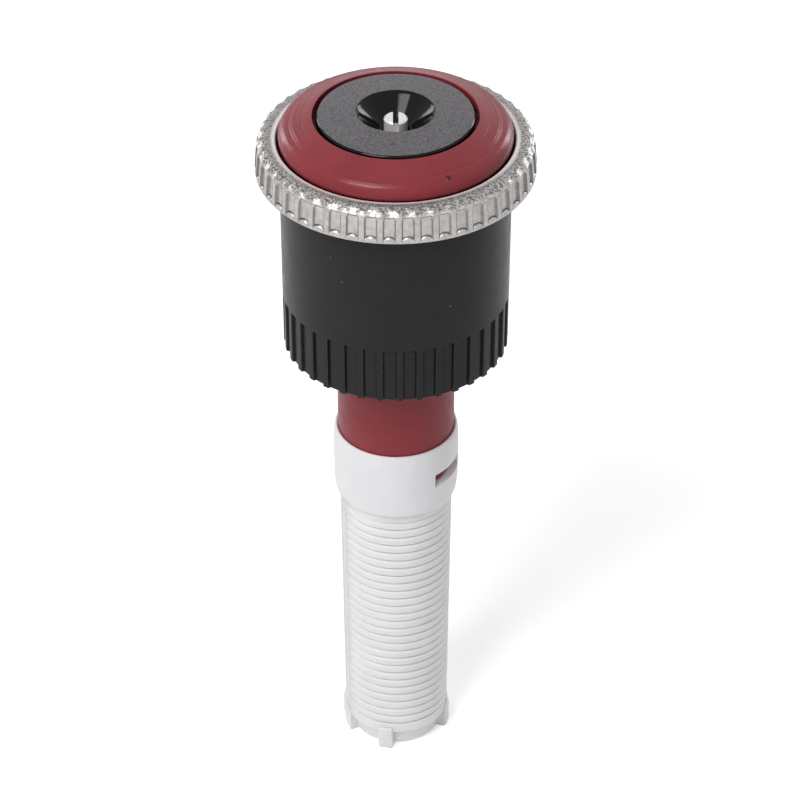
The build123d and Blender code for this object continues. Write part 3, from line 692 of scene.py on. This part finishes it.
# Gate mark: a small dimple bumped into the band, with painted shade darkening its hollow.
gate_dimple_shade = remap(rotor_tree, to_gate.outputs["Value"], 0.0, 1.0, GATE_IN, GATE_OUT)
rotor_tree.links.new(gate_dimple_shade, gate_bump.inputs["Height"])
rotor_tree.links.new(lines_bump.outputs["Normal"], gate_bump.inputs["Normal"])
skin_bump = rotor_bsdf.inputs["Normal"].links[0].from_node
rotor_tree.links.new(gate_bump.outputs["Normal"], skin_bump.inputs["Normal"])
plain_colour = rotor_bsdf.inputs["Base Color"].links[0].from_socket
# painted shade: the gate dimple's hollow darkened to near-black
rotor_tree.links.new(mix_colours(rotor_tree, gate_dimple_shade, (0.03, 0.004, 0.006), plain_colour),
                     rotor_bsdf.inputs["Base Color"])
stream_plate = piece(plate_bm, "stream_rotor", "rotor", "stream_plate")
stream_plate.data.materials.append(rotor_maroon)

# ---------------------------------------------------------------- rotor cap
# The cap is a black moulding that closes the damper; its top is matt, its rim
# and the recess for the adjusting key are polished.
CAP_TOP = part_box("rotor_cap")[1][2] / MM
CAP_EDGE = CAP_TOP - 0.38
RECESS_R, MATT_R, MATT_Z = 3.66, 7.3, 0.072
cap_bm = spun([(1.3, 70.75, 0), (1.3, 70.4, 0), (1.9, 70.4, 0), (1.9, 69.8, 0), (2.0, 69.8, 0),
               (2.0, 68.9, 0), (2.9, 68.9, 0), (2.9, 69.75, 0), (5.6, 69.75, 0), (5.6, 70.03, 0),
               (4.98, 70.03, 0), (4.98, 70.67, 0), (5.66, 70.67, 0), (5.66, 70.9, 0),
               (7.34, 70.9, 0.05), (7.34, CAP_EDGE, 0.3), (3.7, CAP_TOP, 0.05), (3.64, CAP_TOP - 0.02, 0),
               (1.5, 70.75, 0.04)], 256, longest=0.4)
cap_matt, _, _ = moulded_plastic("cap_matt", (0.042, 0.038, 0.042), (0.15, 0.14, 0.15),
                                 (0.42, 0.52), fine=(5200.0, 0.00006), dust=(0.3, 0.3, 0.3),
                                 speckled=True)
cap_gloss, _, _ = moulded_plastic("cap_gloss", (0.002, 0.002, 0.002), (0.004, 0.004, 0.004),
                                  (0.06, 0.1), dust=(0.3, 0.3, 0.3), specular=0.17)
rotor_cap = piece(cap_bm, "cap_moulding", "rotor", "rotor_cap")
rotor_cap.data.materials.append(cap_matt)
rotor_cap.data.materials.append(cap_gloss)
for face in rotor_cap.data.polygons:
    r = math.hypot(face.center.x, face.center.y) / MM
    matt = face.normal.z > 0.8 and RECESS_R < r < MATT_R and face.center.z > MATT_Z
    face.material_index = 0 if matt else 1

# ---------------------------------------------------------------- inner pieces
# Guides, throttle, clips, bearings, seals and the damper keep their solids and
# get the finish of turned or moulded small parts.
bright_steel = ring_steel.copy()
bright_steel.name = "bright_steel"
rubber, _, _ = moulded_plastic("seal_rubber", (0.02, 0.02, 0.02), (0.03, 0.03, 0.03), (0.55, 0.7))
acetal, _, _ = moulded_plastic("white_acetal", (0.62, 0.62, 0.6), (0.68, 0.68, 0.66), (0.35, 0.5))
grey, _, _ = moulded_plastic("grey_acetal", (0.1, 0.1, 0.105), (0.13, 0.13, 0.135), (0.4, 0.5))
carrier_black, _, _ = moulded_plastic("carrier_black", (0.012, 0.012, 0.013),
                                      (0.02, 0.02, 0.02), (0.4, 0.5))
FINISHES = {
    "stem_spider": grey, "throttle_guide": grey, "throttle_seat": grey, "drive_sleeve": acetal,
    "sleeve_clip": bright_steel, "throttle_disc": acetal, "carrier_snap_ring": bright_steel,
    "arc_carrier": carrier_black, "arc_nozzle": acetal, "carrier_o_ring": rubber,
    "upper_bearing": acetal, "upper_seal": rubber, "lower_bearing": acetal, "lower_seal": rubber,
    "cap_o_ring": rubber, "shaft": bright_steel, "damper_stator": grey, "spring_retainer": grey,
    "retainer_clip": bright_steel}
for node, finish in FINISHES.items():
    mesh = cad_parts[node].data
    mesh.materials.clear()
    mesh.materials.append(finish)

# ---------------------------------------------------------------- return spring
# A stainless coil round the shaft; it closes up as the rotor lifts and pulls
# the head down again when the water is shut off.
WIRE, COIL_R, TURNS, COIL_STEPS = 0.45, 2.0, 7, 28
coil_low, coil_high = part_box("return_spring")
coil_length = coil_high[2] - coil_low[2] - WIRE * MM
spring_bm = bmesh.new()
bmesh.ops.create_circle(spring_bm, segments=10, radius=WIRE / 2 * MM)
bmesh.ops.rotate(spring_bm, cent=(0, 0, 0), matrix=Matrix.Rotation(math.pi / 2, 3, "X"),
                 verts=spring_bm.verts)
bmesh.ops.translate(spring_bm, vec=(COIL_R * MM, 0, coil_low[2] + WIRE / 2 * MM), verts=spring_bm.verts)
steps = TURNS * COIL_STEPS
bmesh.ops.spin(spring_bm, geom=spring_bm.verts[:] + spring_bm.edges[:], cent=(0, 0, 0),
               axis=(0, 0, 1), dvec=(0, 0, coil_length / steps), angle=2 * math.pi * TURNS,
               steps=steps, use_merge=False, use_duplicate=False)
bmesh.ops.holes_fill(spring_bm, edges=[e for e in spring_bm.edges if e.is_boundary], sides=0)
bmesh.ops.recalc_face_normals(spring_bm, faces=spring_bm.faces)
coil = piece(spring_bm, "spring_coil", "lift_shaft", "return_spring")
coil.data.materials.append(bright_steel)
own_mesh(coil)
